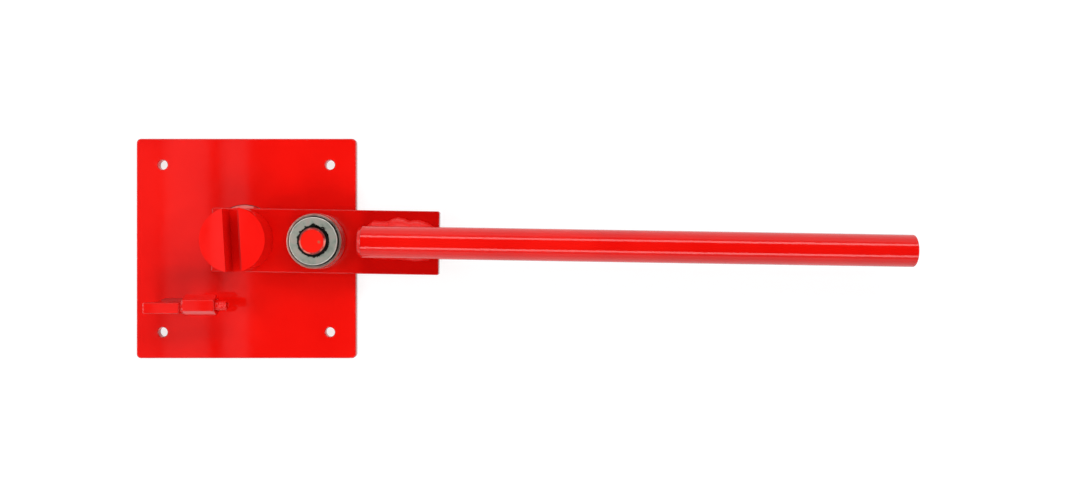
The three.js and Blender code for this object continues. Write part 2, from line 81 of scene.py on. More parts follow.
STOP_Y, STOP_HEIGHT = -60.5, 34.7
UPRIGHT_LEFT, UPRIGHT_RIGHT, UPRIGHT_FRONT, UPRIGHT_BACK = -84.3, -51.3, -67.9, -57.9
UPRIGHT_TOP = 43.2
NUT_START, NUT_END, NUT_FLATS = -48.8, -18.8, 17.0
SCREW_START, SCREW_TIP, SCREW_RADIUS, SCREW_PITCH = -39.1, -9.1, 5.0, 1.5

# Softened edges and details that the solids leave out
PLATE_EDGE, ARM_EDGE, HEAD_EDGE, UPRIGHT_EDGE, UPRIGHT_CORNER = 1.1, 0.9, 0.9, 0.7, 1.2
NUT_ROUNDING, NUT_TURNED_OFF, NUT_COUNTERSINK = 0.7, 1.2, 0.9
THREAD_DEPTH, SCREW_TIP_LENGTH, SCREW_TIP_DEPTH, SCREW_FACE = 0.45, 1.3, 1.2, 3.45
SOCKET_HALF_FLATS, SOCKET_DEPTH, SOCKET_LIP = 2.5, 5.0, 0.25
TUBE_END_DEPTH, TUBE_END_LENGTH = 1.7, 3.4
CENTRE = 0.01  # radius that stands for a point in the middle of a round end
SIDES, HEAD_SIDES, RACE_SIDES, SEAT_SIDES, SCREW_SIDES = 128, 144, 160, 96, 72
BALL_SIDES, HOLE_SIDES = 40, 48


# Outlines

def rectangle(left, low, right, high, radius=0, right_radius=None):
    """Corners (x, y, radius), counter-clockwise. The right ones may have a radius of their own."""
    if right_radius is None:
        right_radius = radius
    return [(left, low, radius), (right, low, right_radius),
            (right, high, right_radius), (left, high, radius)]


def arc(x, y, radius, start, end, steps):
    """Points on an arc, with both of its ends."""
    angles = [start + (end - start) * i / steps for i in range(steps + 1)]
    return [Vector((x + radius * math.cos(a), y + radius * math.sin(a))) for a in angles]


def soften(corners, steps=4):
    """Closed outline whose corners (x, y, radius) are rounded."""
    points = []
    count = len(corners)
    for i, (x, y, radius) in enumerate(corners):
        here = Vector((x, y))
        before = Vector(corners[i - 1][:2]) - here
        after = Vector(corners[(i + 1) % count][:2]) - here
        if radius <= 0 or before.angle(after) / 2 > math.radians(89):
            points.append(here)
            continue
        half = before.angle(after) / 2
        reach = min(radius / math.tan(half), 0.49 * before.length, 0.49 * after.length)
        before.normalize()
        after.normalize()
        out = reach * math.tan(half) / math.sin(half)
        middle = here + (before + after).normalized() * out
        start = here + before * reach - middle
        end = here + after * reach - middle
        sweep = start.angle(end)
        for step in range(steps + 1):
            share = step / steps
            spoke = start * math.sin((1 - share) * sweep) + end * math.sin(share * sweep)
            points.append(middle + spoke / math.sin(sweep))
    return points


def shrink(corners, distance):
    """The outline's edges moved inwards; the outline runs counter-clockwise."""
    moved = []
    count = len(corners)
    for i, (x, y, radius) in enumerate(corners):
        here = Vector((x, y))
        before = (here - Vector(corners[i - 1][:2])).normalized()
        after = (Vector(corners[(i + 1) % count][:2]) - here).normalized()
        both = Vector((-before.y, before.x)) + Vector((-after.y, after.x))
        if both.length > 1e-6:
            here = here + both * (2 * distance / both.length_squared)
        turning_out = before.x * after.y - before.y * after.x > 0
        if radius > 0:
            radius = max(0.02, radius - distance if turning_out else radius + distance)
        moved.append((here.x, here.y, radius))
    return moved


def with_margins(points):
    """Outline's points, and one just inside each end of its long sides, so that wear stays at the
    corners. Each comes with whether it may be worn."""
    margin = 0.5
    found = []
    for i, point in enumerate(points):
        following = points[(i + 1) % len(points)]
        along = following - point
        found.append((point, True))
        if along.length > 3 * margin:
            step = along.normalized() * margin
            found += [(point + step, False), (following - step, False)]
    return found


# Meshes

def ring_of(mesh, points):
    return [mesh.verts.new(point) for point in points]


def skin(mesh, rings, closed=False):
    """Quads between rings of corners that have the same count."""
    for low, high in zip(rings, rings[1:] + rings[:1] if closed else rings[1:]):
        for i in range(len(low)):
            j = (i + 1) % len(low)
            corners = list(dict.fromkeys((low[i], low[j], high[j], high[i])))
            if len(corners) > 2:
                mesh.faces.new(corners)


def skin_with_ends(mesh, rings):
    skin(mesh, rings)
    for ring in (rings[0], rings[-1]):
        mesh.faces.new(ring)


def slab(corners, bottom, top, edge, holes=(), steps=4):
    """Flat piece between two heights, with softened edges and round holes (x, y, radius)."""
    mesh = bmesh.new()
    worn = mesh.verts.layers.float.new("edge")
    lower, upper = [], []
    for step in range(steps + 1):
        angle = step / steps * math.pi / 2
        inset, rise = edge * (1 - math.sin(angle)), edge * (1 - math.cos(angle))
        wear = math.sin(2 * angle) if step < steps else 0.35
        lower.append((inset, bottom + rise, wear))
        upper.append((inset, top - rise, wear))
    stacks = [[] for _ in range(1 + len(holes))]
    for inset, height, wear in lower + upper[::-1]:
        outlines = [soften(shrink(corners, inset))]
        outlines += [arc(x, y, radius + inset, 0, -FULL_TURN, HOLE_SIDES)[:-1]
                     for x, y, radius in holes]
        for stack, outline in zip(stacks, outlines):
            ring = ring_of(mesh, [(p.x, p.y, height) for p in outline])
            for corner in ring:
                corner[worn] = wear
            stack.append(ring)
    for stack in stacks:
        skin(mesh, stack)
    for end in (0, -1):
        rim = [mesh.edges.get((stack[end][i - 1], stack[end][i]))
               for stack in stacks for i in range(len(stack[end]))]
        bmesh.ops.triangle_fill(mesh, use_beauty=True, edges=rim)
    return mesh


def turned(profile, sides=SIDES, steps=4):
    """Piece turned round the Z axis from a closed profile of (radius, height, corner radius)."""
    mesh = bmesh.new()
    worn = mesh.verts.layers.float.new("edge")
    marks = mesh.verts.layers.float_vector.new("turned")
    rounded = [(Vector((x, y)), radius) for x, y, radius in profile if radius > 0]
    rings = []
    for point, may_wear in with_margins(soften(profile, steps)):
        count = 1 if point.x < 1e-6 else sides
        spokes = [FULL_TURN * i / count for i in range(count)]
        ring = ring_of(mesh, [(point.x * math.cos(a), point.x * math.sin(a), point.y)
                              for a in spokes])
        close = may_wear and any((point - middle).length < 0.8 * radius
                                 for middle, radius in rounded)
        for corner in ring:
            corner[worn] = 1.0 if close else 0.0
            corner[marks] = (point.x, point.y, 0)
        rings.append(ring * sides if count == 1 else ring)
    skin(mesh, rings, closed=True)
    bmesh.ops.dissolve_degenerate(mesh, dist=1e-5, edges=mesh.edges)
    return mesh


def placed(mesh, *moves):
    for move in moves:
        mesh.transform(move)
    return mesh


def shift(x, y, z):
    return Matrix.Translation((x, y, z))


def turn(angle, axis):
    return Matrix.Rotation(angle, 4, axis)


TO_LEVER = turn(LEVER_TURN, "Z")
ON_PIN = TO_LEVER @ shift(PIN_DISTANCE, 0, 0)
ON_BEARING = ON_PIN @ shift(0, 0, BEARING_MIDDLE)
ALONG_X = turn(math.pi / 2, "Y")


# Pieces

def linked(name, data):
    """New object in the scene."""
    made = bpy.data.objects.new(name, data)
    bpy.context.scene.collection.objects.link(made)
    return made


def mesh_object(mesh, name):
    data = bpy.data.meshes.new(name)
    mesh.to_mesh(data)
    mesh.free()
    return linked(name, data)


def to_object(mesh, name):
    """Object of a closed mesh in millimetres, with its faces outwards."""
    bmesh.ops.recalc_face_normals(mesh, faces=mesh.faces)
    if mesh.calc_volume(signed=True) < 0:
        bmesh.ops.reverse_faces(mesh, faces=mesh.faces)
    return mesh_object(placed(mesh, Matrix.Scale(MM, 4)), name)


def apply_modifiers(piece):
    graph = bpy.context.evaluated_depsgraph_get()
    data = bpy.data.meshes.new_from_object(piece.evaluated_get(graph))
    piece.modifiers.clear()
    old = piece.data
    piece.data = data
    bpy.data.meshes.remove(old)


def rework(piece, change):
    """Puts a piece's mesh through a change."""
    mesh = bmesh.new()
    mesh.from_mesh(piece.data)
    change(mesh)
    mesh.to_mesh(piece.data)
    mesh.free()


def cut_away(piece, *cutters):
    """Cuts the cutters out of a piece, and joins the faces that lie in one plane."""
    for cutter in cutters:
        knife = piece.modifiers.new("cut", "BOOLEAN")
        knife.operation = "DIFFERENCE"
        knife.solver = "EXACT"
        knife.object = cutter
    apply_modifiers(piece)
    for cutter in cutters:
        bpy.data.objects.remove(cutter)
    rework(piece, lambda mesh: bmesh.ops.dissolve_limit(
        mesh, angle_limit=math.radians(0.5), verts=mesh.verts, edges=mesh.edges))


def mark_edges(mesh):
    """Joins doubled corners, and marks the narrow faces along edges, where paint wears first
    and where the painted edge shade and highlight go.
    """
    same_place, edge_face = 0.002 * MM, 12.0 * MM * MM
    bmesh.ops.remove_doubles(mesh, dist=same_place, verts=mesh.verts)
    worn = mesh.verts.layers.float["edge"]
    for corner in mesh.verts:
        flat = any(face.calc_area() > edge_face for face in corner.link_faces)
        corner[worn] = 0.0 if flat else 1.0


def round_edges(piece, width):
    rounding = piece.modifiers.new("rounding", "BEVEL")
    rounding.width = width * MM
    rounding.segments = 4
    rounding.limit_method = "ANGLE"
    rounding.angle_limit = math.radians(35)
    rounding.harden_normals = False
    apply_modifiers(piece)
    rework(piece, mark_edges)


def dress(piece, finish, body, nodes, sharp=40):
    """Gives a piece its finish, and ties it to its body and to the solids that it stands for."""
    piece.data.materials.clear()
    piece.data.materials.append(finish)
    piece.data.shade_smooth()
    piece.data.set_sharp_from_angle(angle=math.radians(sharp))
    weighted = piece.modifiers.new("even shading", "WEIGHTED_NORMAL")
    weighted.keep_sharp = True
    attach(piece, body)
    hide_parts(*nodes)


# Node helpers

class Wiring:
    """Places nodes in a tree and joins them."""

    def __init__(self, tree):
        self.tree = tree

    def node(self, kind, **settings):
        made = self.tree.nodes.new(kind)
        for key, value in settings.items():
            setattr(made, key, value)
        return made

    def join(self, source, target):
        self.tree.links.new(source, target)

    def feed(self, target, value):
        """Joins a socket to the target, or sets a number, a place or a colour on it."""
        if isinstance(value, bpy.types.NodeSocket):
            self.join(value, target)
        elif target.type == "RGBA":
            target.default_value = (*value, 1.0)
        else:
            target.default_value = value

    def math(self, operation, a, b=0.0, clamp=False):
        made = self.node("ShaderNodeMath", operation=operation, use_clamp=clamp)
        self.feed(made.inputs[0], a)
        self.feed(made.inputs[1], b)
        return made.outputs[0]

    def plus(self, a, b):
        return self.math("ADD", a, b)

    def times(self, a, b, clamp=False):
        return self.math("MULTIPLY", a, b, clamp)

    def mix(self, share, a, b):
        made = self.node("ShaderNodeMix", data_type="RGBA")
        self.feed(made.inputs[0], share)
        self.feed(made.inputs[6], a)
        self.feed(made.inputs[7], b)
        return made.outputs[2]

    def span(self, value, low, high, new_low=0.0, new_high=1.0):
        made = self.node("ShaderNodeMapRange", clamp=True)
        for target, number in zip(made.inputs, (value, low, high, new_low, new_high)):
            self.feed(target, number)
        return made.outputs[0]

    def place(self):
        return self.node("ShaderNodeTexCoord").outputs["Object"]

    def noise(self, scale, detail=2.0, roughness=0.5, distortion=0.0, where=None):
        made = self.node("ShaderNodeTexNoise")
        self.join(self.place() if where is None else where, made.inputs["Vector"])
        for name, value in (("Scale", scale), ("Detail", detail),
                            ("Roughness", roughness), ("Distortion", distortion)):
            self.feed(made.inputs[name], value)
        return made.outputs[0]

    def attribute(self, name, output="Fac"):
        return self.node("ShaderNodeAttribute", attribute_name=name).outputs[output]

    def part(self, vector, axis):
        split = self.node("ShaderNodeSeparateXYZ")
        self.join(vector, split.inputs[0])
        return split.outputs[axis]

    def on_lathe(self, axis):
        """On a turned piece, the distance from its axis (X) or the height along it (Y), in
        millimetres."""
        return self.part(self.attribute("turned", "Vector"), axis)

    def rim(self, radius, height):
        """Rounded edge that lies beyond a radius and above a height."""
        return self.times(self.span(self.on_lathe("X"), radius - 0.1, radius + 0.2),
                          self.span(self.on_lathe("Y"), height - 0.1, height + 0.1))

    def group(self, tree, **values):
        """Outputs of a shared group, placed with values of its own."""
        made = self.node("ShaderNodeGroup", node_tree=tree)
        for name, value in values.items():
            made.inputs[name.replace("_", " ")].default_value = value
        return made.outputs

    def bump(self, surface, height, strength, distance):
        made = self.node("ShaderNodeBump")
        self.feed(made.inputs["Strength"], strength)
        self.feed(made.inputs["Distance"], distance)
        self.join(height, made.inputs["Height"])
        self.join(made.outputs[0], surface.inputs["Normal"])


def new_group(name, inputs, outputs):
    group = bpy.data.node_groups.new(name, "ShaderNodeTree")
    for label, value in inputs.items():
        made = group.interface.new_socket(name=label, in_out="INPUT", socket_type="NodeSocketFloat")
        made.default_value = value
    for label in outputs:
        group.interface.new_socket(name=label, in_out="OUTPUT", socket_type="NodeSocketFloat")
    w = Wiring(group)
    return group, w, w.node("NodeGroupInput").outputs, w.node("NodeGroupOutput").inputs


def make_paint_film():
    """Orange peel and slow waves of a sprayed coat, and how its tone and its gloss drift."""
    group, w, given, out = new_group(
        "paint film",
        {"Peel Size": 420.0, "Peel Depth": 0.35, "Wave Size": 28.0, "Wave Depth": 1.0},
        ("Height", "Drift", "Gloss Drift"),
    )
    peel = w.times(w.noise(given["Peel Size"], detail=1.5), given["Peel Depth"])
    waves = w.times(w.noise(given["Wave Size"], roughness=0.45), given["Wave Depth"])
    w.join(w.plus(peel, waves), out["Height"])
    w.join(w.noise(11.0, detail=3.0, roughness=0.55), out["Drift"])
    w.join(w.noise(75.0, detail=4.0, roughness=0.6), out["Gloss Drift"])
    return group


def make_edge_wear_and_shade():
    """Spots along edges where the finish has chipped or rubbed off, and edge masks for the
    painted edge shade and highlight.
    """
    group, w, given, out = new_group(
        "edge wear and painted light", {"Amount": 0.5, "Size": 260.0}, ("Mask", "Rub And Highlight", "Edge"))
    edge = w.attribute("edge")
    spots = w.noise(given["Size"], detail=3.0, roughness=0.6)
    patches = w.noise(22.0)
    heat = w.plus(w.times(spots, 0.55), w.times(patches, 0.45))
    level = w.math("SUBTRACT", 0.72, w.times(given["Amount"], 0.14))
    chip = w.span(heat, level, w.plus(level, 0.025))
    w.join(w.times(chip, w.span(edge, 0.3, 0.6), clamp=True), out["Mask"])
    # rubbed spots on edges, also where the painted edge highlight goes
    w.join(w.times(edge, w.span(heat, 0.4, 0.6), clamp=True), out["Rub And Highlight"])
    # the edge mask; on red paint it carries the painted edge shade
    w.join(w.span(edge, 0.15, 0.75), out["Edge"])
    return group


def make_turning_marks():
    """Fine rings left by turning or grinding, and the smears across them."""
    group, w, given, out = new_group(
        "turning marks", {"Fineness": 6.0, "Smear": 0.5}, ("Height", "Tone", "Smears"))
    rings = w.noise(given["Fineness"], detail=5.0, roughness=0.75,
                    where=w.attribute("turned", "Vector"))
    smears = w.noise(130.0, detail=4.0, roughness=0.6, distortion=0.6)
    ringed = w.times(rings, w.math("SUBTRACT", 1.0, given["Smear"]))
    w.join(rings, out["Height"])
    w.join(w.plus(ringed, w.times(smears, given["Smear"])), out["Tone"])
    w.join(smears, out["Smears"])
    return group


PAINT_FILM = make_paint_film()
EDGE_WEAR_AND_SHADE = make_edge_wear_and_shade()
TURNING_MARKS = make_turning_marks()

# Tones that the finishes share out over a piece
# EDGE_SHADE_RED is painted shade along the edges of red paint.
# RUB_AND_HIGHLIGHT_RED is lighter rubbed paint on edges, which also serves as a painted edge
# highlight.
EDGE_SHADE_RED, RUB_AND_HIGHLIGHT_RED, CHIPPED_STEEL = (0.45, 0.008, 0.009), (0.92, 0.03, 0.02), (0.42, 0.30, 0.27)
# ARM_SHADE_RED is painted shade on the lever beside the handle tube.
# SLOT_SHADE_RED is painted shade down in the head's slot.
ARM_SHADE_RED, SLOT_SHADE_RED = (0.63, 0.0024, 0.0012), (0.66, 0.0030, 0.0018)
KNOCKED_RED, RIM_RED, RIM_PINK = (0.50, 0.11, 0.06), (0.26, 0.006, 0.004), (0.86, 0.18, 0.13)
# Dark grease round the pin and the circlip, partly painted shadow.
RED_GREASE_AND_SHADE, BLACK_GREASE_AND_SHADE = (0.03, 0.012, 0.008), (0.012, 0.010, 0.009)
# Dark red on the outer race's rim: red overspray, partly a painted reflection of the red lever.
OVERSPRAY_AND_REFLECTION = (0.50, 0.02, 0.012)
PLAIN_DARK, PLAIN_LIGHT = (0.50, 0.49, 0.47), (0.74, 0.73, 0.70)
# Pink bare steel of the ring under the lever: a painted reflection of the red paint around it.
RING_REFLECTION_DARK, RING_REFLECTION_LIGHT = (0.90, 0.17, 0.15), (1.0, 0.32, 0.29)
# RING_RIM_SHADE is painted shadow on the ring's outer rim.
RING_RED, RING_RIM_SHADE = (0.70, 0.006, 0.004), (0.05, 0.008, 0.006)


def new_finish(name):
    finish = bpy.data.materials.new(name)
    finish.use_nodes = True
    return finish, Wiring(finish.node_tree), finish.node_tree.nodes["Principled BSDF"]


def red_paint(name="glossy red paint", chips=0.5, peel=0.05, wave=0.8,
              deep=(0.80, 0.0035, 0.0018), bright=(0.88, 0.0065, 0.0035), gloss=(0.045, 0.085),
              rim=None, slot=None, nick=None, shade_beyond=None):
    """Sprayed red. rim gives the radii between which a turned end is rubbed, and grease that is
    partly painted shadow lies outside them. slot gives the distances along Y between which the
    painted shade down in a slot fades towards its ends. nick is the place of a knock in the paint
    and its radius, and shade_beyond gives the distances along X across which the coat darkens
    into painted shade beside the handle tube."""
    finish, w, surface = new_finish(name)
    film = w.group(PAINT_FILM, Peel_Depth=peel, Wave_Depth=wave)
    worn = w.group(EDGE_WEAR_AND_SHADE, Amount=chips)
    colour = w.mix(w.span(film["Drift"], 0.35, 0.65), deep, bright)
    # Painted shade along the edges.
    colour = w.mix(w.times(worn["Edge"], 0.6), colour, EDGE_SHADE_RED)
    # Lighter rubbed paint on edges, which is also a painted edge highlight.
    colour = w.mix(w.times(worn["Rub And Highlight"], 0.3), colour, RUB_AND_HIGHLIGHT_RED)
    colour = w.mix(worn["Mask"], colour, CHIPPED_STEEL)
    if shade_beyond:
        # Painted shade on the lever beside the handle tube, from the span's start onwards.
        ragged = w.plus(w.part(w.place(), "X"), w.times(w.noise(40.0), 0.012))
        colour = w.mix(w.span(ragged, *shade_beyond), colour, ARM_SHADE_RED)
    if slot:
        # Painted shade down in the slot, weaker towards the slot's ends.
        along = w.math("ABSOLUTE", w.part(w.place(), "Y"))
        depth = w.times(w.attribute("slot_shade"), w.span(along, *slot, 1.0, 0.45))
        colour = w.mix(depth, colour, SLOT_SHADE_RED)
    if rim:
        inner, outer = rim
        patchy = w.mix(w.span(w.noise(130.0, detail=3.0), 0.44, 0.58), RIM_RED, RIM_PINK)
        colour = w.mix(w.span(w.on_lathe("X"), inner - 0.5, inner), colour, patchy)
        # Dark edge round the pin's top: grease, partly painted shadow.
        colour = w.mix(w.span(w.on_lathe("X"), outer - 0.2, outer + 0.1), colour, RED_GREASE_AND_SHADE)
    if nick:
        place, radius = nick
        away = w.node("ShaderNodeVectorMath", operation="DISTANCE")
        w.join(w.place(), away.inputs[0])
        w.feed(away.inputs[1], place)
        uneven = w.plus(away.outputs["Value"], w.times(w.noise(700.0), 0.0008))
        knocked = w.span(uneven, radius * 0.7, radius * 1.3, 0.8, 0.0)
        colour = w.mix(knocked, colour, KNOCKED_RED)
    w.join(colour, surface.inputs["Base Color"])
    shine = w.span(film["Gloss Drift"], 0.3, 0.75, *gloss)
    w.join(w.plus(shine, w.times(worn["Mask"], 0.3)), surface.inputs["Roughness"])
    w.join(w.times(worn["Mask"], 0.7), surface.inputs["Metallic"])
    height = w.math("SUBTRACT", film["Height"], w.times(worn["Mask"], 0.6))
    w.bump(surface, height, 0.25, 0.0002)
    return finish


def steel(name, dark, light, rough, fineness=6.0, smear=0.5, depth=0.2, tint=None, rim=None,
          grease_shade_radius=None, edge=(0.95, 0.93, 0.89), plain_below=None):
    """Turned or ground steel. rough gives its least and most roughness, tint the tone of its
    smears, rim the radius and height of an edge in red overspray that is partly a painted
    reflection of the red lever, and grease_shade_radius a radius inside which it is dark with
    grease that is partly painted shadow. Below plain_below it is plain grey."""
    finish, w, surface = new_finish(name)
    marks = w.group(TURNING_MARKS, Fineness=fineness, Smear=smear)
    worn = w.group(EDGE_WEAR_AND_SHADE)
    tone = w.span(marks["Tone"], 0.35, 0.68)
    colour = w.mix(tone, dark, light)
    if tint:
        colour = w.mix(w.span(marks["Smears"], 0.45, 0.64, 0.0, 0.75), colour, tint)
    colour = w.mix(w.times(worn["Edge"], 0.7), colour, edge)
    if plain_below:
        below = w.span(w.on_lathe("Y"), plain_below - 0.1, plain_below + 0.1, 1.0, 0.0)
        colour = w.mix(below, colour, w.mix(tone, PLAIN_DARK, PLAIN_LIGHT))
    if rim:
        # Dark red rim: overspray, partly a painted reflection of the red lever.
        colour = w.mix(w.rim(*rim), colour, OVERSPRAY_AND_REFLECTION)
    # Dark ragged ring round the bore: grease, partly painted shadow round the circlip.
    if grease_shade_radius:
        ragged = w.plus(w.on_lathe("X"), w.times(w.noise(380.0), -4.0))
        colour = w.mix(w.span(ragged, grease_shade_radius - 2.1, grease_shade_radius - 1.7, 1.0, 0.0), colour, BLACK_GREASE_AND_SHADE)
    w.join(colour, surface.inputs["Base Color"])
    w.feed(surface.inputs["Metallic"], 1.0)
    w.join(w.span(marks["Smears"], 0.3, 0.7, *rough), surface.inputs["Roughness"])
    w.bump(surface, marks["Height"], depth, 0.00005)
    return finish


def half_painted_ring():
    """Steel ring with red overspray, rubbed bare in a patch whose pink tone is a painted
    reflection of the red paint around it, and with painted shadow round its rim.
    """
    finish, w, surface = new_finish("rubbed ring under the lever with painted reflection")
    marks = w.group(TURNING_MARKS, Fineness=4.0, Smear=0.5)
    # Bare patch tinted pink: painted reflection of the red paint around it.
    bare = w.mix(w.span(marks["Tone"], 0.35, 0.68), RING_REFLECTION_DARK, RING_REFLECTION_LIGHT)
    aside = w.math("ABSOLUTE", w.plus(w.part(w.place(), "X"), 0.0015))
    ragged = w.plus(aside, w.times(w.noise(300.0), 0.002))
    below_top = w.span(w.on_lathe("Y"), RING_TOP - 0.8, RING_TOP - 0.6, 1.0, 0.0)
    painted = w.math("MAXIMUM", w.span(ragged, 0.0105, 0.0125), below_top)
    # Painted shadow round the outer rim.
    colour = w.mix(w.rim(31.35, RING_TOP - 0.6), w.mix(painted, bare, RING_RED), RING_RIM_SHADE)
    w.join(colour, surface.inputs["Base Color"])
    w.join(w.span(painted, 0.0, 1.0, 0.42, 0.2), surface.inputs["Roughness"])
    w.join(w.span(painted, 0.0, 1.0, 0.4, 0.0), surface.inputs["Metallic"])
    w.bump(surface, marks["Height"], 0.2, 0.00005)
    return finish


RED = red_paint()
# Brighter copy of the red paint: painted light on the head's better-lit tops, with painted shade in
# its slot.
HEAD_LIT_RED = red_paint("red paint brightened as lit", deep=(0.90, 0.0065, 0.004), bright=(0.95, 0.009, 0.006),
                     slot=(0.017, 0.029))
# The lever's coat darkens into painted shade beside the handle tube.
ARM_RED = red_paint("red paint on the lever", deep=(0.74, 0.0033, 0.0017),
                    bright=(0.82, 0.0060, 0.0033), shade_beyond=(0.094, 0.120))
PIN_RED = red_paint("red paint on a rubbed pin", deep=(0.92, 0.012, 0.007),
                    bright=(0.96, 0.018, 0.010), rim=(11.0, 12.2),
                    nick=((0.0793, -0.0020, 0.0499), 0.0017))
WELD_RED = red_paint("red paint over weld", chips=0.1, peel=0.2, wave=0.9, gloss=(0.32, 0.45))
# Darker copy of the red paint on the stop's foot beads: painted shade.
FOOT_SHADE_RED = red_paint("red paint over weld darkened as shade", chips=0.1, peel=0.2, wave=0.9,
                     deep=(0.50, 0.0024, 0.0012), bright=(0.60, 0.0042, 0.0022),
                     gloss=(0.40, 0.52))
# Its dark ring round the circlip is grease and partly painted shadow.
WASHER_STEEL = steel("plain washer steel", (0.38, 0.43, 0.36), (0.74, 0.75, 0.67), (0.42, 0.58),
                     fineness=5.0, smear=0.7, tint=(0.56, 0.45, 0.40), grease_shade_radius=14.7)
# Pink-tinted, brightened steel on the outer race's top is a painted reflection of the red paint
# around it. It is plain grey below.
RING_STEEL_WITH_REFLECTION = steel("ground bearing steel with painted reflection", (0.74, 0.37, 0.31), (1.0, 0.62, 0.54), (0.30, 0.45),
                   fineness=9.0, smear=0.4, rim=(25.15, 6.6), plain_below=6.4,
                   edge=(0.90, 0.60, 0.55))
BARE_STEEL = steel("bare worn steel", (0.50, 0.46, 0.42), (0.72, 0.68, 0.63), (0.28, 0.45),
                   fineness=4.0)
SLIDE_RING = half_painted_ring()
POLISHED_STEEL = steel("polished steel", (0.62, 0.62, 0.60), (0.76, 0.76, 0.74), (0.10, 0.2),
                       fineness=12.0, smear=0.3, depth=0.05)
# Near-black shields: grease, and painted shade in the gap under the washer's edge.
GREASY_SHADED_STEEL = steel("greasy shield steel with painted shade", (0.018, 0.016, 0.012), (0.06, 0.055, 0.045),
                     (0.45, 0.6), fineness=8.0, smear=0.6, edge=(0.08, 0.07, 0.06))
BLACK_STEEL = steel("black spring steel", (0.010, 0.010, 0.009), (0.035, 0.033, 0.030),
                    (0.38, 0.55), fineness=8.0, smear=0.6, edge=(0.07, 0.065, 0.06))


# Base

def plate():
    half, pitch = PLATE_SIDE / 2, BOLT_PITCH / 2
    corners = rectangle(-half, -half - PLATE_SHIFT, half, half - PLATE_SHIFT, PLATE_CORNER)
    holes = [(sx * pitch, sy * pitch - PLATE_SHIFT, BOLT_HOLE / 2)
             for sx in (-1, 1) for sy in (-1, 1)]
    mesh = slab(corners, 0, PLATE_TOP, PLATE_EDGE, holes)
    dress(to_object(mesh, "plate"), RED, "base", ["base_plate"])


def ring_under_lever():
    mesh = turned(rectangle(RING_BORE, PLATE_TOP, RING_OUTER, RING_TOP, 0.3, 0.5))
    placed(mesh, shift(0, RING_SHIFT, 0))
    dress(to_object(mesh, "bare_ring"), SLIDE_RING, "base", ["pivot_ring"])


def mark_slot_shade(mesh):
    """Marks how deep in the slot each corner of the head's mesh lies, for painted shade there."""
    slot_shade = mesh.verts.layers.float.new("slot_shade")
    for corner in mesh.verts:
        x, height = abs(corner.co.x) / MM, corner.co.z / MM
        inside = x < SLOT_WIDTH / 2 + 0.1 and height > SLOT_FLOOR - 0.5
        corner[slot_shade] = min(1.0, (HEAD_TOP - height) / 3) if inside else 0.0


def head():
    """Round head with the rod's slot across its top and the post's seat in its underside."""
    piece = to_object(turned(rectangle(0, HEAD_BOTTOM, HEAD_RADIUS, HEAD_TOP), HEAD_SIDES), "head")
    beyond = 5  # how far the cutters stand out of the head
    half, run = SLOT_WIDTH / 2, HEAD_RADIUS + beyond
    slot = slab(rectangle(-half, -run, half, run), SLOT_FLOOR, HEAD_TOP + beyond, 0.01, steps=1)
    seat = turned(rectangle(0, HEAD_BOTTOM - beyond, POST_RADIUS + FIT, SLOT_FLOOR - 1), SEAT_SIDES)
    cut_away(piece, to_object(slot, "slot"), to_object(seat, "seat"))
    round_edges(piece, HEAD_EDGE)
    # Marks where painted shade darkens the slot.
    rework(piece, mark_slot_shade)
    piece.data.transform(turn(SLOT_TURN, "Z"))
    dress(piece, HEAD_LIT_RED, "base", ["slotted_head"])


# Rod stop

def upright():
    corners = rectangle(UPRIGHT_LEFT, UPRIGHT_FRONT, UPRIGHT_RIGHT, UPRIGHT_BACK, UPRIGHT_CORNER)
    mesh = slab(corners, PLATE_TOP, UPRIGHT_TOP, UPRIGHT_EDGE)
    dress(to_object(mesh, "stop_bar"), RED, "base", ["stop_upright"])


def hexagon_points(corner, rounding, flat_steps=8):
    """Rounded hexagon with points along its flats, for the radius of its corners."""
    angles = [math.pi / 3 * i for i in range(6)]
    rounded = soften([(corner * math.cos(a), corner * math.sin(a), rounding) for a in angles])
    points = []
    for i, point in enumerate(rounded):
        points.append(point)
        following = rounded[(i + 1) % len(rounded)]
        if (following - point).length > 3 * rounding:
            points += [point.lerp(following, step / flat_steps) for step in range(1, flat_steps)]
    return points


def nut():
    """Long hexagon nut whose corners are turned off at both ends."""
    mesh = bmesh.new()
    worn = mesh.verts.layers.float.new("edge")
    corner_radius = NUT_FLATS / 2 / math.cos(math.pi / 6)
    outline = hexagon_points(corner_radius, NUT_ROUNDING)
    half = (NUT_END - NUT_START) / 2
    face = corner_radius - NUT_TURNED_OFF
    bore = SCREW_RADIUS + FIT
    # for a point r from the axis: its radius, its depth below the nut's end, and its wear
    rows = (
        (lambda r: bore, lambda r: 1.0, 0),
        (lambda r: bore + NUT_COUNTERSINK, lambda r: 0, 0.4),
        (lambda r: min(r, face) - 0.25, lambda r: 0, 0),
        (lambda r: min(r, face), lambda r: 0.12, 1),
        (lambda r: r, lambda r: max(0.3, (r - face) / 2 + 0.3), 0.5),
        (lambda r: r, lambda r: 1.6, 0),
    )
    rings = []
    for side in (-1, 1):
        made = []
        for radius_of, depth_of, wear in rows:
            spokes = [(point.normalized(), point.length) for point in outline]
            ring = ring_of(mesh, [(s.x * radius_of(r), s.y * radius_of(r),
                                   side * (half - depth_of(r))) for s, r in spokes])
            for corner in ring:
                corner[worn] = wear
            made.append(ring)
        rings += made if side < 0 else made[::-1]
    skin(mesh, rings, closed=True)
    placed(mesh, turn(math.pi / 6, "Z"), ALONG_X,
           shift((NUT_START + NUT_END) / 2, STOP_Y, STOP_HEIGHT))
    dress(to_object(mesh, "stop_nut_body"), RED, "base", ["stop_nut"], sharp=50)


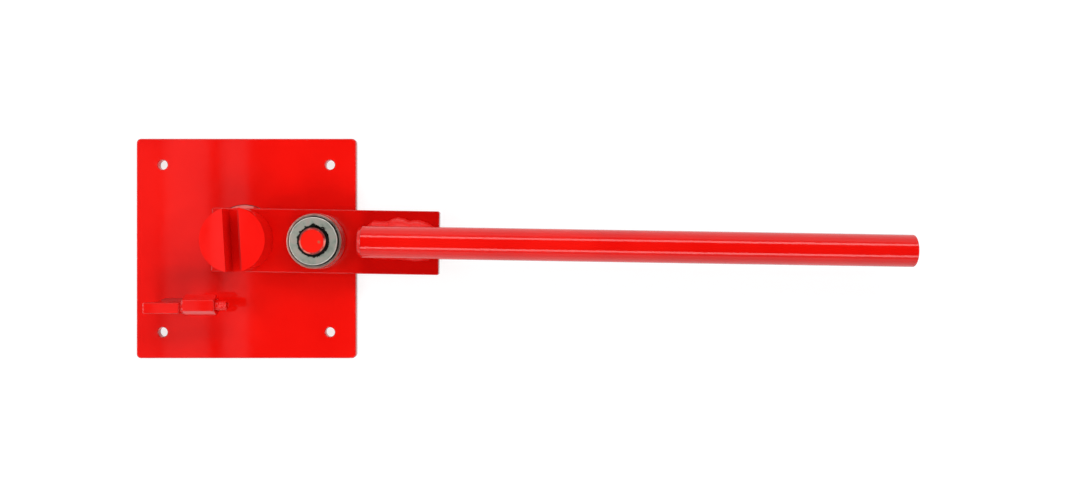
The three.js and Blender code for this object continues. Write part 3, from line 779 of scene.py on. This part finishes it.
def screw():
    """Screw with its thread softened by paint, a chamfered tip and a hexagon socket in it."""
    mesh = bmesh.new()
    worn = mesh.verts.layers.float.new("edge")
    length = SCREW_TIP - SCREW_START
    rings = []

    def ring(radius_of, x, wear=0.0):
        angles = [FULL_TURN * i / SCREW_SIDES for i in range(SCREW_SIDES)]
        made = ring_of(mesh, [(x, radius_of(a) * math.cos(a), radius_of(a) * math.sin(a))
                              for a in angles])
        for corner in made:
            corner[worn] = wear
        rings.append(made)

    def thread(x):
        def radius(angle):
            phase = (x / SCREW_PITCH - angle / FULL_TURN) % 1.0
            flank = min(phase, 1 - phase) * 2
            groove = 0.5 - 0.5 * math.cos(math.pi * flank)
            end = min(1.0, (length - x) / SCREW_TIP_LENGTH, x / SCREW_TIP_LENGTH)
            return min(SCREW_RADIUS - THREAD_DEPTH * (1 - groove),
                       SCREW_RADIUS - SCREW_TIP_DEPTH + SCREW_TIP_DEPTH * end)
        return radius

    def socket_radius(angle):
        return SOCKET_HALF_FLATS / math.cos((angle % (math.pi / 3)) - math.pi / 6)

    rows = int(length / SCREW_PITCH * 10)  # ten for each turn of the thread
    ring(lambda a: CENTRE, 0)
    for row in range(rows + 1):
        ring(thread(length * row / rows), length * row / rows)
    ring(lambda a: SCREW_FACE, length, 0.8)
    ring(lambda a: socket_radius(a) + SOCKET_LIP, length, 0.3)
    ring(socket_radius, length - SOCKET_LIP)
    ring(socket_radius, length - SOCKET_DEPTH)
    ring(lambda a: CENTRE, length - SOCKET_DEPTH - 1)
    skin_with_ends(mesh, rings)
    placed(mesh, shift(SCREW_START, STOP_Y, STOP_HEIGHT))
    dress(to_object(mesh, "stop_screw_body"), RED, "stop_screw", ["stop_screw"], sharp=50)


# Welds

# How full each bead is along its length
UPPER_LUMPS = (0.6, 0.8, 0.81, 0.8, 0.83, 0.97, 1.0, 0.96, 0.85, 0.88, 0.88, 0.8, 0.68, 0.52)
LOWER_LUMPS = (0.5, 0.86, 0.95, 1.0, 1.0, 0.96, 0.92, 0.89, 0.88, 0.87, 0.87, 0.86, 0.8, 0.55)
FOOT_LUMPS = (0.45, 0.85, 0.95, 0.9, 0.97, 0.9, 0.95, 0.8, 0.4)
RIPPLE = 3.2  # length of one ripple
RIPPLE_HEIGHT, LUMP_HEIGHT = 0.09, 0.10
BEAD_ROWS, BEAD_COLUMNS = 2.5, 14  # rows for each millimetre of length, and columns across
TUBE_BEAD_ROOT, TUBE_BEAD_TOP, FOOT_BEAD_SIZE = 6.0, 12.3, 2.7
# The joint between the stop's bar and its nut: shares of its width, and radii
JOINT_PROFILE = ((0, CENTRE), (0, 4.6), (0, 5.7), (0.25, 5.5), (0.5, 5.3), (0.75, 5.5),
                 (1, 5.7), (1, 4.6), (1, CENTRE))
JOINT_WIDTH, JOINT_SIDES = 2.5, 72


def wobble(x, seed, size):
    return noise.noise(Vector((x * size, seed * 7.31, seed * 3.17)))


def flowing(shares, share):
    """Value at a share along a smooth curve through evenly spaced shares."""
    place = share * (len(shares) - 1)
    index = min(int(place), len(shares) - 2)
    t = place - index
    a, b, c, d = (shares[min(max(index + step, 0), len(shares) - 1)] for step in (-1, 0, 1, 2))
    return b + 0.5 * t * (c - a + t * (2 * a - 5 * b + 4 * c - d + t * (3 * (b - c) + d - a)))


def bulge(foot, top, share, fullness=0.85):
    """Point on the bulging face of a bead, from its foot (across, up) to its top."""
    control = (top[0] + (foot[0] - top[0]) * fullness, foot[1] + (top[1] - foot[1]) * fullness)
    return [(1 - share) ** 2 * f + 2 * share * (1 - share) * m + share ** 2 * t
            for f, m, t in zip(foot, control, top)]


def bead(length, section, lumps, side, seed, *moves):
    """Hand-laid weld bead along X about the middle of its length, turned round for the side -1.
    section gives (across, up) for a share along its face and a fullness."""
    mesh = bmesh.new()
    mesh.verts.layers.float.new("edge")
    rows = int(length * BEAD_ROWS)
    rings = []
    for row in range(rows + 1):
        along = row / rows * length
        full = flowing(lumps, row / rows) * (1 + 0.02 * wobble(along, seed, 0.3))
        points = []
        for column in range(BEAD_COLUMNS + 1):
            t = column / BEAD_COLUMNS
            y, z = section(t, full)
            bow = math.sin(math.pi * t)
            phase = (along + 2.2 * bow) / RIPPLE * FULL_TURN
            ripple = RIPPLE_HEIGHT * math.sin(phase)
            swell = 0.7 * bow * (ripple + LUMP_HEIGHT * wobble(along + 4 * t, seed + 2, 0.15))
            points.append((along, y + swell, z + swell))
        root = min(section(0, full)[0], section(1, full)[0])
        points.append((along, root - 2.5, -0.3))
        rings.append(ring_of(mesh, points))
    skin_with_ends(mesh, rings)
    half_turn = 0 if side > 0 else math.pi
    return placed(mesh, shift(-length / 2, 0, 0), turn(half_turn, "Z"), *moves)


def tube_bead(name, node, side, toe, lumps, seed):
    """Bead between the tube and the arm, whose toe is how far it stands out beside the tube."""

    def section(t, full):
        foot = TUBE_BEAD_ROOT + (TUBE_RADIUS + toe - TUBE_BEAD_ROOT) * full
        top = TUBE_BEAD_TOP * full
        below_axis = TUBE_HEIGHT - ARM_TOP - top
        contact = math.sqrt(TUBE_RADIUS ** 2 - below_axis ** 2) - 0.5
        return bulge((foot, 0), (contact, top), t)

    middle = shift(TUBE_WELD_START + TUBE_WELD_LENGTH / 2, 0, ARM_TOP)
    mesh = bead(TUBE_WELD_LENGTH, section, lumps, side, seed, middle, TO_LEVER)
    dress(to_object(mesh, name), WELD_RED, "lever", [node], sharp=60)


def foot_bead(name, node, side, seed):
    """Bead between the stop's bar and the plate."""

    def section(t, full):
        return bulge((FOOT_BEAD_SIZE * full, 0), (0, FOOT_BEAD_SIZE * full), t, 0.6)

    edge = UPRIGHT_BACK if side > 0 else UPRIGHT_FRONT
    middle = shift((UPRIGHT_LEFT + UPRIGHT_RIGHT) / 2, edge, PLATE_TOP)
    mesh = bead(FOOT_WELD_LENGTH, section, FOOT_LUMPS, side, seed, middle)
    dress(to_object(mesh, name), FOOT_SHADE_RED, "base", [node], sharp=60)


def nut_bead():
    """Weld that fills the space between the stop's bar and its nut."""
    mesh = bmesh.new()
    mesh.verts.layers.float.new("edge")
    rings = []
    for share, radius in JOINT_PROFILE:
        points = []
        for i in range(JOINT_SIDES):
            angle = FULL_TURN * i / JOINT_SIDES
            lump = 1 + 0.03 * math.sin(11 * angle) + 0.04 * wobble(angle * 9, 4.0, 0.5)
            reach = radius * lump if radius > 5 else radius
            points.append(((share - 0.5) * JOINT_WIDTH,
                           reach * math.cos(angle), reach * math.sin(angle)))
        rings.append(ring_of(mesh, points))
    skin_with_ends(mesh, rings)
    placed(mesh, shift((UPRIGHT_RIGHT + NUT_START) / 2, STOP_Y - 1.2, STOP_HEIGHT))
    dress(to_object(mesh, "stop_joint_bead"), WELD_RED, "base", ["stop_nut_weld"], sharp=60)


# Lever

def arm():
    corners = rectangle(-ARM_TAIL, -ARM_WIDTH / 2, ARM_REACH, ARM_WIDTH / 2, ARM_CORNER)
    holes = [(0, 0, POST_RADIUS + FIT), (PIN_DISTANCE, 0, PIN_FOOT_RADIUS + FIT)]
    mesh = placed(slab(corners, ARM_BOTTOM, ARM_TOP, ARM_EDGE, holes), TO_LEVER)
    dress(to_object(mesh, "arm"), ARM_RED, "lever", ["lever_arm"])


def tube():
    """Tube whose end on the arm is rounded."""
    inner = TUBE_RADIUS - TUBE_WALL
    profile = [(inner, 0, 0.3), (TUBE_RADIUS - TUBE_END_DEPTH, 0, 1.0),
               (TUBE_RADIUS, TUBE_END_LENGTH, 1.2), (TUBE_RADIUS, TUBE_LENGTH, 0.7),
               (inner, TUBE_LENGTH, 0.5)]
    mesh = placed(turned(profile, steps=6), ALONG_X, shift(TUBE_START, 0, TUBE_HEIGHT), TO_LEVER)
    dress(to_object(mesh, "handle"), RED, "lever", ["handle_tube"])


def pin():
    """Pin with a thinner foot in the arm, a groove for the circlip and a chamfered top."""
    profile = [(0, PIN_BOTTOM, 0), (PIN_FOOT_RADIUS, PIN_BOTTOM, 0.3),
               (PIN_FOOT_RADIUS, ARM_TOP, 0), (PIN_RADIUS, ARM_TOP, 0.2),
               (PIN_RADIUS, WASHER_TOP, 0), (GROOVE_RADIUS, WASHER_TOP, 0),
               (GROOVE_RADIUS, GROOVE_TOP, 0), (PIN_RADIUS, GROOVE_TOP, 0),
               (PIN_RADIUS, PIN_TOP - PIN_CHAMFER_HEIGHT, 0.5),
               (PIN_RADIUS - PIN_CHAMFER, PIN_TOP, 0.5), (0, PIN_TOP, 0)]
    mesh = placed(turned(profile), ON_PIN)
    dress(to_object(mesh, "pin"), PIN_RED, "lever", ["roller_pin"])


def ring_on_pin(name, node, finish, radius, bottom, top, soft):
    mesh = turned(rectangle(BEARING_BORE, bottom, radius, top, soft * 0.7, soft))
    placed(mesh, ON_PIN)
    dress(to_object(mesh, name), finish, "lever", [node])


CLIP_RADIUS, CLIP_WIDTH, CLIP_OFFSET, CLIP_THICKNESS, CLIP_EDGE = 12.25, 1.9, 0.3, 1.2, 0.12
CLIP_HALF_GAP, CLIP_MEET = math.radians(18.5), math.radians(18.5 + 8.2)
LUG_RADIUS, LUG_HOLE = 2.0, 0.9
CLIP_TURN = math.radians(70)


def circlip():
    """Spring clip that narrows towards its gap, with a drilled lug at each end."""
    upper, lower = (Vector((math.cos(angle), math.sin(angle))) * (CLIP_RADIUS + LUG_RADIUS)
                    for angle in (CLIP_HALF_GAP, -CLIP_HALF_GAP))
    # counter-clockwise: outside arc, lower lug, inside arc back, upper lug
    outside = arc(-CLIP_OFFSET, 0, CLIP_RADIUS + CLIP_WIDTH, CLIP_MEET, FULL_TURN - CLIP_MEET, 96)
    inside = arc(0, 0, CLIP_RADIUS, FULL_TURN - CLIP_HALF_GAP, CLIP_HALF_GAP, 96)
    lower_lug = arc(lower.x, lower.y, LUG_RADIUS, math.radians(-100) - CLIP_HALF_GAP,
                    math.radians(130) - CLIP_HALF_GAP, 14)
    upper_lug = arc(upper.x, upper.y, LUG_RADIUS, math.radians(-130) + CLIP_HALF_GAP,
                    math.radians(100) + CLIP_HALF_GAP, 14)
    corners = [(p.x, p.y, 0) for p in outside + lower_lug + inside[3:-3] + upper_lug]
    holes = [(p.x, p.y, LUG_HOLE) for p in (upper, lower)]
    mesh = slab(corners, WASHER_TOP, WASHER_TOP + CLIP_THICKNESS, CLIP_EDGE, holes, steps=2)
    placed(mesh, turn(CLIP_TURN - LEVER_TURN, "Z"), ON_PIN)
    dress(to_object(mesh, "spring_clip"), BLACK_STEEL, "lever", ["roller_circlip"])


# Ball bearing, about its own middle

SHIELD_SEAT, SHIELD_SEAT_DEPTH, SHIELD_DEPTH, SHIELD_THICKNESS = 23.6, 1.4, 0.8, 0.4
# Radius, drop of the dished top, and how soft the underside and the top are there
SHIELD_DISH = ((17.5, 0.4, 0.1, 0.1), (18.6, 0.0, 0.2, 0.3), (20.6, 0.2, 0.3, 0.3),
               (22.8, 0.0, 0.1, 0.2))


def race(side, shoulder, steps=10):
    """Rounded raceway between two shoulders, in the outer ring (1) or the inner one (-1)."""
    radius = BALL_RADIUS + RACE_GAP
    edge = math.acos(abs(shoulder - PITCH_RADIUS) / radius)
    angles = [edge * (2 * i / steps - 1) for i in range(steps + 1)]
    return [(PITCH_RADIUS + side * radius * math.cos(a), radius * math.sin(a), 0) for a in angles]


def bearing_rings():
    half, ledge = BEARING_HALF, BEARING_HALF - SHIELD_SEAT_DEPTH
    inner = [(BEARING_BORE, -half, 0.5), (INNER_SHOULDER, -half, 0.2)] + race(-1, INNER_SHOULDER)
    inner += [(INNER_SHOULDER, half, 0.2), (BEARING_BORE, half, 0.5)]
    mesh = placed(turned(inner), ON_BEARING)
    dress(to_object(mesh, "inner_race"), POLISHED_STEEL, "lever", ["bearing_inner_ring"])
    outer = rectangle(SHIELD_SEAT, -half, BEARING_RADIUS, half, 0.2, 1.0)
    outer += [(SHIELD_SEAT, ledge, 0), (OUTER_SHOULDER, ledge, 0.1)]
    outer += race(1, OUTER_SHOULDER)[::-1]
    outer += [(OUTER_SHOULDER, -ledge, 0.1), (SHIELD_SEAT, -ledge, 0)]
    mesh = placed(turned(outer, RACE_SIDES), ON_BEARING)
    dress(to_object(mesh, "outer_race"), RING_STEEL_WITH_REFLECTION, "roller", ["bearing_outer_ring"])


def shield(name, tilt):
    top = BEARING_HALF - SHIELD_DEPTH
    profile = [(radius, top - drop - SHIELD_THICKNESS, soft)
               for radius, drop, soft, _ in SHIELD_DISH]
    profile += [(radius, top - drop, soft) for radius, drop, _, soft in SHIELD_DISH[::-1]]
    mesh = placed(turned(profile), turn(tilt, "X"), ON_BEARING)
    dress(to_object(mesh, f"shield_{name}"), GREASY_SHADED_STEEL, "roller", [f"bearing_shield_{name}"])


def ball(index):
    angle = FULL_TURN * index / BALL_COUNT
    half_circle = arc(0, 0, BALL_RADIUS, -math.pi / 2, math.pi / 2, 24)
    where = shift(PITCH_RADIUS * math.cos(angle), PITCH_RADIUS * math.sin(angle), 0)
    mesh = placed(turned([(p.x, p.y, 0) for p in half_circle], BALL_SIDES), where, ON_BEARING)
    dress(to_object(mesh, f"ball_{index + 1}"), POLISHED_STEEL, "cage",
          [f"bearing_ball_{index + 1}"])


def bearing():
    bearing_rings()
    shield("upper", 0)
    shield("lower", math.pi)
    for index in range(BALL_COUNT):
        ball(index)


# Stage, in metres

# Radius and height of the floor's rings, which rise to a wall far from the bench
FLOOR_PROFILE = ((0.5, 0.0), (1.5, 0.0), (4.0, 0.0), (6.5, 0.0), (7.8, 0.35), (8.6, 1.1),
                 (9.0, 2.2), (9.0, 4.5))
FLOOR_MIDDLE, FLOOR_SIDES, FLOOR_DROP = 0.25, 96, 0.0003
FLOOR_GLOW, FLOOR_CARD = 0.80, 0.28
STRIP_MIDDLE, STRIP_AWAY, LAMP_HEIGHT = 0.45, 1.26, 1.5
STRIP_WIDTH, STRIP_LENGTH, STRIP_LEVEL = 2.6, 0.42, 3.2
BOX_SIZE, BOX_HEIGHT, FILL_SIZE, PANEL_LENGTH = 1.1, 1.35, 0.5, 1.6
BOXES = (("box_left", -1.35, 2.7), ("box_right", 1.75, 2.0))  # name, x, level
FILLS = (("fill_back", (0.06, 0.95, 0.75), 3.5), ("fill_front", (0.06, -0.95, 0.75), 4.9),
         ("fill_corner", (0.75, 0.75, 0.8), 3.3))  # name, place, level
PANELS = (("panel_left", -0.90, -0.69, 0.12), ("panel_middle", -0.675, -0.560, 0.34),
          ("panel_inner", -0.526, -0.462, 0.36))  # name, left, right, level
WALL_TOP, CEILING = 0.55, 0.9
WALL_LEVEL, CEILING_LEVEL = 0.36, 0.024
CAMERA_PLACE, CAMERA_LENS, CAMERA_SENSOR = (0.2809, -0.00656, 0.908), 31.38, 36.0


def floor_finish():
    """Pale card under a glow that is seen and mirrored, but lights nothing."""
    finish = bpy.data.materials.new("pale floor")
    finish.use_nodes = True
    finish.node_tree.nodes.clear()
    w = Wiring(finish.node_tree)
    path = w.node("ShaderNodeLightPath").outputs
    seen = w.math("MAXIMUM", path["Is Camera Ray"], path["Is Glossy Ray"])
    seen = w.math("MAXIMUM", seen, path["Is Transmission Ray"])
    glow = w.node("ShaderNodeEmission")
    w.feed(glow.inputs["Color"], (1.0, 1.0, 1.0))
    w.join(w.times(seen, FLOOR_GLOW), glow.inputs["Strength"])
    card = w.node("ShaderNodeBsdfDiffuse")
    grain = w.span(w.noise(3.0), 0.3, 0.7)
    w.join(w.mix(grain, (FLOOR_CARD,) * 3, (FLOOR_CARD * 1.03,) * 3), card.inputs["Color"])
    both = w.node("ShaderNodeAddShader")
    w.join(glow.outputs[0], both.inputs[0])
    w.join(card.outputs[0], both.inputs[1])
    w.join(both.outputs[0], w.node("ShaderNodeOutputMaterial").inputs["Surface"])
    return finish


def floor():
    mesh = bmesh.new()
    angles = [FULL_TURN * i / FLOOR_SIDES for i in range(FLOOR_SIDES)]
    rings = [ring_of(mesh, [(radius * math.cos(a) + FLOOR_MIDDLE, radius * math.sin(a), height)
                            for a in angles]) for radius, height in FLOOR_PROFILE]
    skin(mesh, rings)
    mesh.faces.new(rings[0])
    bmesh.ops.recalc_face_normals(mesh, faces=mesh.faces)
    ground = mesh_object(mesh, "floor")
    ground.location.z = -FLOOR_DROP
    ground.data.materials.append(floor_finish())


def lamp(name, place, aim, width, length, level, glossy=True):
    """Rectangular softbox at a place, facing a point. level is the radiance of its face."""
    data = bpy.data.lights.new(name, "AREA")
    data.shape = "RECTANGLE"
    data.size, data.size_y = width, length
    data.energy = level * math.pi * width * length
    made = linked(name, data)
    made.location = place
    made.rotation_euler = (Vector(aim) - Vector(place)).to_track_quat("-Z", "Y").to_euler()
    made.visible_glossy = glossy
    made.visible_camera = False
    return made


def lights():
    for name, side in (("strip_back", 1), ("strip_front", -1)):
        place = (STRIP_MIDDLE, side * STRIP_AWAY, LAMP_HEIGHT)
        made = lamp(name, place, (STRIP_MIDDLE, 0, 0), STRIP_WIDTH, STRIP_LENGTH, STRIP_LEVEL)
        made.rotation_euler = (-side * math.atan2(STRIP_AWAY, LAMP_HEIGHT), 0, 0)
    for name, x, level in BOXES:
        lamp(name, (x, 0, BOX_HEIGHT), (0.1, 0, 0), BOX_SIZE, BOX_SIZE, level)
    for name, place, level in FILLS:
        lamp(name, place, (0.06, 0, 0), FILL_SIZE, FILL_SIZE, level, glossy=False)
    for name, left, right, level in PANELS:
        x = (left + right) / 2
        lamp(name, (x, 0, LAMP_HEIGHT), (x, 0, 0), right - left, PANEL_LENGTH, level)


def world():
    """Pale walls round the bench under a dark ceiling."""
    made = bpy.data.worlds.new("studio")
    made.use_nodes = True
    w = Wiring(made.node_tree)
    back = made.node_tree.nodes["Background"]
    w.feed(back.inputs["Color"], (1.0, 1.0, 1.0))
    up = w.part(w.node("ShaderNodeTexCoord").outputs["Generated"], "Z")
    w.join(w.span(up, WALL_TOP, CEILING, WALL_LEVEL, CEILING_LEVEL), back.inputs["Strength"])
    bpy.context.scene.world = made


def camera():
    """Looks straight down."""
    data = bpy.data.cameras.new("camera")
    data.sensor_fit = "HORIZONTAL"
    data.sensor_width = CAMERA_SENSOR
    data.lens = CAMERA_LENS
    data.clip_start, data.clip_end = 0.01, 50.0
    made = linked("camera", data)
    made.location = CAMERA_PLACE
    bpy.context.scene.camera = made


def plain_nodes():
    """Finishes of the solids that stay as they are, inside or under the rest."""
    finishes = {"pivot_post": RED, "post_weld": RED, "pin_weld": RED,
                "bearing_cage_upper": POLISHED_STEEL, "bearing_cage_lower": POLISHED_STEEL}
    for name, finish in finishes.items():
        node = frame["nodes"][name]
        node.data.materials.clear()
        node.data.materials.append(finish)


camera()
world()
lights()
floor()
plate()
ring_under_lever()
head()
upright()
nut()
screw()
nut_bead()
foot_bead("stop_bead_back", "stop_weld_back", 1, 3.0)
foot_bead("stop_bead_front", "stop_weld_front", -1, 5.0)
arm()
tube()
tube_bead("handle_bead_upper", "tube_weld_upper", 1, 8.4, UPPER_LUMPS, 1.0)
tube_bead("handle_bead_lower", "tube_weld_lower", -1, 2.4, LOWER_LUMPS, 2.0)
pin()
ring_on_pin("spacer", "roller_spacer", BARE_STEEL, SPACER_RADIUS, ARM_TOP, BEARING_BOTTOM, 0.4)
ring_on_pin("washer", "roller_washer", WASHER_STEEL, WASHER_RADIUS, BEARING_TOP, WASHER_TOP, 0.6)
circlip()
bearing()
plain_nodes()

bpy.context.scene.view_settings.view_transform = "Standard"
